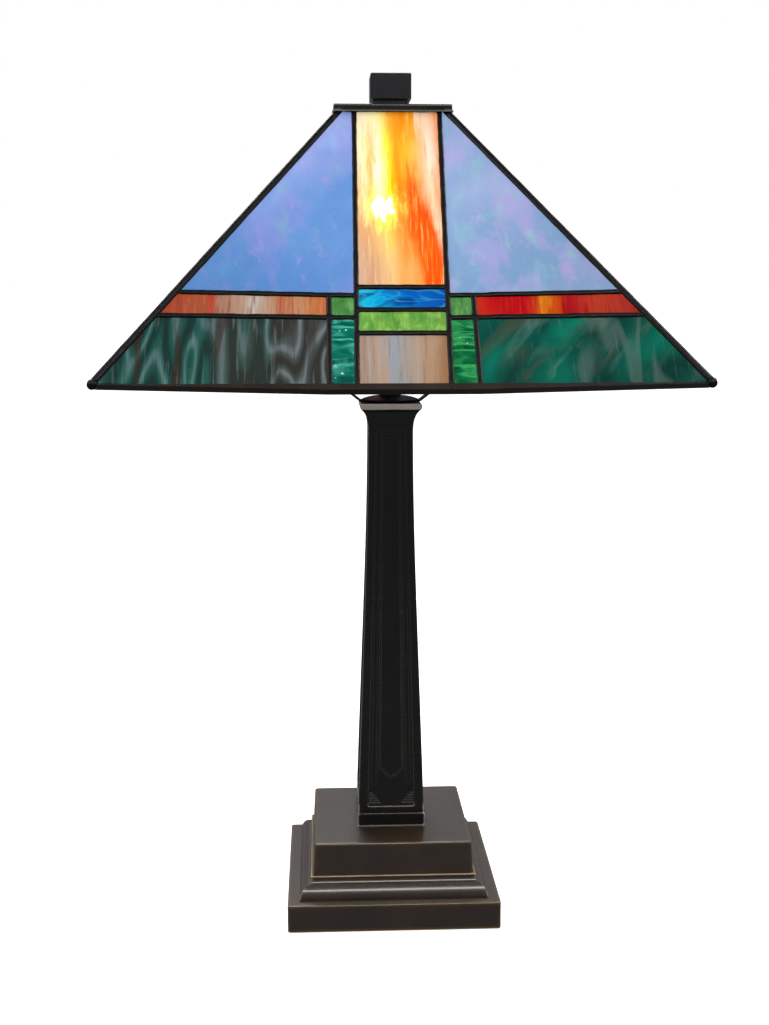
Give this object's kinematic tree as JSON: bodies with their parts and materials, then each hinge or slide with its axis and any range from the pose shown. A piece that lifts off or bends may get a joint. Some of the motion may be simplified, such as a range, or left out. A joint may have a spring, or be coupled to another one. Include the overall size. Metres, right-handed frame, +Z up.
{
  "type": "stained glass table lamp",
  "caption": "Mission-style table lamp: a square leaded-glass pyramid shade on a harp, over a tapered panelled square column and a stepped square base.",
  "frame": {"origin": "middle of the base's underside, on the surface that the lamp stands on", "axes": "+Z up along the lamp's axis, -Y towards the side that the reference view shows, +X to that view's right"},
  "size_m": [0.4144, 0.4144, 0.6571],
  "materials": {
    "dark_bronze": "satin patina, rubbed edges",
    "base_bronze": "satin brown patina, rubbed to brass at the edges",
    "black_wood": "black stain",
    "felt": "felt",
    "cast_iron": "rough cast",
    "zinc_steel": "zinc plated",
    "black_plastic": "moulded",
    "brass": "satin",
    "fibre": "fibre board",
    "solder": "black patina on solder",
    "aluminium": "spun",
    "black_glass": "gloss",
    "clear_glass": "clear",
    "opal_bulb": "opal, lit",
    "filament": "glowing",
    "lavender_glass": "opalescent",
    "lavender_pale_glass": "opalescent",
    "amber_glass": "streaky opalescent",
    "water_blue_glass": "water textured",
    "light_green_glass": "streaky",
    "taupe_glass": "wispy opalescent",
    "caramel_glass": "streaky opalescent",
    "red_glass": "streaky",
    "square_green_glass": "hammered",
    "teal_ripple_glass": "rippled",
    "green_ripple_glass": "rippled",
    "dark_teal_glass": "wispy, dark",
    "dark_green_glass": "wispy, dark"
  },
  "bodies": {
    "stand": {"base_casting": "base_bronze", "base_pad": "felt", "ballast_plate": "cast_iron", "cord_bushing": "black_plastic", "column_casting": "dark_bronze", "threaded_rod": "zinc_steel", "base_washer": "zinc_steel", "lock_washer": "zinc_steel", "base_nut": "zinc_steel", "check_ring": "dark_bronze", "harp_saddle": "dark_bronze", "neck_tube": "dark_bronze", "socket_cap": "brass", "socket_shell": "brass", "socket_liner": "fibre", "socket_body": "black_plastic", "screw_shell": "brass", "centre_contact": "brass", "terminal_screws": "brass"},
    "switch": {"switch_shaft": "brass", "switch_key": "black_plastic"},
    "bulb": {"bulb_envelope": "opal_bulb", "bulb_base": "aluminium", "bulb_insulator": "black_glass", "bulb_contact": "zinc_steel", "bulb_stem": "clear_glass", "bulb_filament": "filament"},
    "harp": {"harp_wire": "dark_bronze"},
    "sleeve_left": {"harp_sleeve_left": "dark_bronze"},
    "sleeve_right": {"harp_sleeve_right": "dark_bronze"},
    "swivel": {"harp_stud": "brass"},
    "shade": {"shade_cap": "dark_bronze", "solder_lines_front": "solder", "solder_lines_right": "solder", "solder_lines_back": "solder", "solder_lines_left": "solder", "hip_seams": "solder", "rim_channel_front": "dark_bronze", "rim_channel_right": "dark_bronze", "rim_channel_back": "dark_bronze", "rim_channel_left": "dark_bronze", "corner_balls": "solder", "glass_lavender_left": "lavender_glass", "glass_lavender_right": "lavender_pale_glass", "glass_amber": "amber_glass", "glass_water_blue": "water_blue_glass", "glass_light_green": "light_green_glass", "glass_taupe": "taupe_glass", "glass_caramel_strip": "caramel_glass", "glass_red_strip": "red_glass", "glass_green_square_left": "square_green_glass", "glass_green_square_right": "square_green_glass", "glass_teal_ripple": "teal_ripple_glass", "glass_green_ripple": "green_ripple_glass", "glass_dark_left": "dark_teal_glass", "glass_dark_right": "dark_green_glass"},
    "finial": {"finial_block": "black_wood", "finial_insert": "brass"}
  },
  "joints": [
    {"name": "switch_turn", "type": "hinge", "parent": "stand", "child": "switch", "pos_m": [0, -0.02, 0.461], "axis": [0, -1, 0], "continuous": true},
    {"name": "bulb_turn", "type": "hinge", "parent": "stand", "child": "bulb", "pos_m": [0, 0, 0.485], "axis": [0, 0, 1], "continuous": true},
    {"name": "harp_lift", "type": "slide", "parent": "stand", "child": "harp", "axis": [0, 0, 1], "range_m": [0, 0.018]},
    {"name": "sleeve_left_lift", "type": "slide", "parent": "harp", "child": "sleeve_left", "axis": [0, 0, 1], "range_m": [0, 0.013]},
    {"name": "sleeve_right_lift", "type": "slide", "parent": "harp", "child": "sleeve_right", "axis": [0, 0, 1], "range_m": [0, 0.013]},
    {"name": "shade_swivel", "type": "hinge", "parent": "harp", "child": "swivel", "pos_m": [0, 0, 0.6225], "axis": [0, 0, 1], "continuous": true},
    {"name": "shade_lift", "type": "slide", "parent": "swivel", "child": "shade", "axis": [0, 0, 1], "range_m": [0, 0.21]},
    {"name": "finial_turn", "type": "hinge", "parent": "shade", "child": "finial", "pos_m": [0, 0, 0.64], "axis": [0, 0, 1], "continuous": true}
  ]
}
